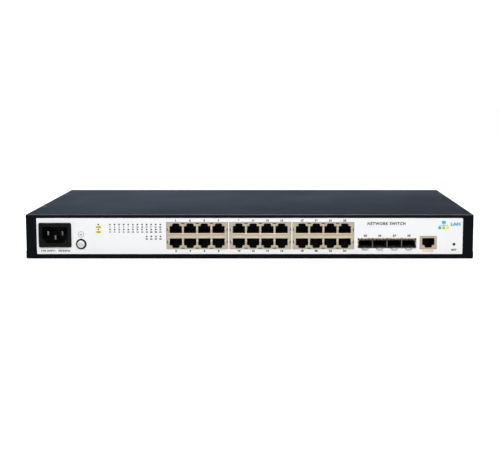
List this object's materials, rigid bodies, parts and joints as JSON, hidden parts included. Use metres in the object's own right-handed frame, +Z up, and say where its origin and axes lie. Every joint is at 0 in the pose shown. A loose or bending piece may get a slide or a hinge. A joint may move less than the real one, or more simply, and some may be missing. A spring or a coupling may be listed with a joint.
{
  "type": "rackmount network switch",
  "caption": "Low, wide dark steel case with a white front panel of network jacks, module cells, a mains inlet, status lights and an earth terminal, for a rack or shelf.",
  "frame": {"origin": "under the middle of the case, on the plane it stands on", "axes": "+X to the right along the front, +Y from the front to the back, +Z up"},
  "size_m": [0.44, 0.2232, 0.044],
  "materials": {
    "case_paint": "fine matt powder coat",
    "label_white": "satin printed film",
    "screw_dark": "black zinc",
    "plated_steel": "bright zinc",
    "pin_nickel": "nickel plate",
    "inlet_black": "fine moulded texture",
    "lead_brown": "smooth",
    "lead_green": "smooth",
    "lead_blue": "smooth",
    "lead_red": "smooth",
    "light_clear": "clear, polished ends",
    "housing_black": "moulded",
    "chip_white": "moulded",
    "shield_tin": "warm plated sheet",
    "contact_gold": "gold plate",
    "cage_steel": "bright sheet",
    "finger_gold": "spring sheet",
    "button_black": "moulded",
    "board_green": "solder mask",
    "chip_black": "moulded",
    "heatsink_black": "anodised",
    "ferrite_grey": "sintered",
    "can_aluminium": "bright can",
    "can_black": "sleeved can",
    "header_white": "moulded",
    "fuse_glass": "ceramic",
    "film_clear": "insulating film"
  },
  "bodies": {
    "enclosure": {"base_tray": "case_paint", "top_cover": "case_paint", "front_label": "label_white", "cover_screws": "screw_dark", "ear_nuts": "plated_steel", "inlet_pins": "pin_nickel", "power_inlet": "inlet_black", "live_lead": "lead_brown", "earth_lead": "lead_green", "neutral_lead": "lead_blue", "earth_nut": "plated_steel", "light_pipes": "light_clear", "light_pipe_holder": "housing_black", "status_lights": "chip_white", "console_housing": "housing_black", "console_shield": "shield_tin", "console_contacts": "contact_gold", "sfp_cage": "cage_steel", "sfp_spring_fingers": "finger_gold", "sfp_connectors": "housing_black", "reset_switch": "housing_black", "main_board": "board_green", "psu_board": "board_green", "board_standoffs": "plated_steel", "board_screws": "plated_steel", "phy_chips": "chip_black", "phy_heatsinks": "heatsink_black", "switch_chip": "chip_black", "switch_heatsink": "heatsink_black", "memory_chips": "chip_black", "power_inductors": "ferrite_grey", "board_capacitors": "can_aluminium", "dc_headers": "header_white", "dc_harness": "lead_red", "psu_ac_header": "header_white", "psu_fuse": "fuse_glass", "psu_line_choke": "ferrite_grey", "psu_bulk_capacitor": "can_black", "psu_transformer": "ferrite_grey", "psu_heatsinks": "heatsink_black", "psu_output_capacitors": "can_black", "psu_insulator": "film_clear", "jack_housing_1": "housing_black", "jack_shield_1": "shield_tin", "jack_contacts_1": "contact_gold", "jack_housing_2": "housing_black", "jack_shield_2": "shield_tin", "jack_contacts_2": "contact_gold", "jack_housing_3": "housing_black", "jack_shield_3": "shield_tin", "jack_contacts_3": "contact_gold"},
    "reset_button": {"reset_button": "button_black"},
    "earth_washer": {"earth_washer": "plated_steel"},
    "earth_screw": {"earth_screw": "plated_steel"},
    "sfp_latch_1": {"sfp_latch_1": "cage_steel"},
    "sfp_latch_2": {"sfp_latch_2": "cage_steel"},
    "sfp_latch_3": {"sfp_latch_3": "cage_steel"},
    "sfp_latch_4": {"sfp_latch_4": "cage_steel"}
  },
  "joints": [
    {"name": "reset_press", "type": "slide", "parent": "enclosure", "child": "reset_button", "axis": [0, 1, 0], "range_m": [0, 0.0005], "stiffness_N_per_m": 3000},
    {"name": "earth_screw_out", "type": "slide", "parent": "enclosure", "child": "earth_washer", "axis": [0, -1, 0], "range_m": [0, 0.003]},
    {"name": "earth_screw_turn", "type": "hinge", "parent": "earth_washer", "child": "earth_screw", "pos_m": [-0.1654, -0.112, 0.0147], "axis": [0, -1, 0], "range_deg": [0, 1545]},
    {"name": "latch_1_bend", "type": "hinge", "parent": "enclosure", "child": "sfp_latch_1", "pos_m": [0.11339, -0.1003, 0.01098], "axis": [1, 0, 0], "range_deg": [0, 5], "stiffness_Nm_per_rad": 0.7},
    {"name": "latch_2_bend", "type": "hinge", "parent": "enclosure", "child": "sfp_latch_2", "pos_m": [0.12765, -0.1003, 0.01098], "axis": [1, 0, 0], "range_deg": [0, 5], "stiffness_Nm_per_rad": 0.7},
    {"name": "latch_3_bend", "type": "hinge", "parent": "enclosure", "child": "sfp_latch_3", "pos_m": [0.14189, -0.1003, 0.01098], "axis": [1, 0, 0], "range_deg": [0, 5], "stiffness_Nm_per_rad": 0.7},
    {"name": "latch_4_bend", "type": "hinge", "parent": "enclosure", "child": "sfp_latch_4", "pos_m": [0.15615, -0.1003, 0.01098], "axis": [1, 0, 0], "range_deg": [0, 5], "stiffness_Nm_per_rad": 0.7}
  ],
  "couplings": [
    {"joint": "earth_screw_turn", "follows": "earth_screw_out", "rad_per_m": 8976}
  ]
}
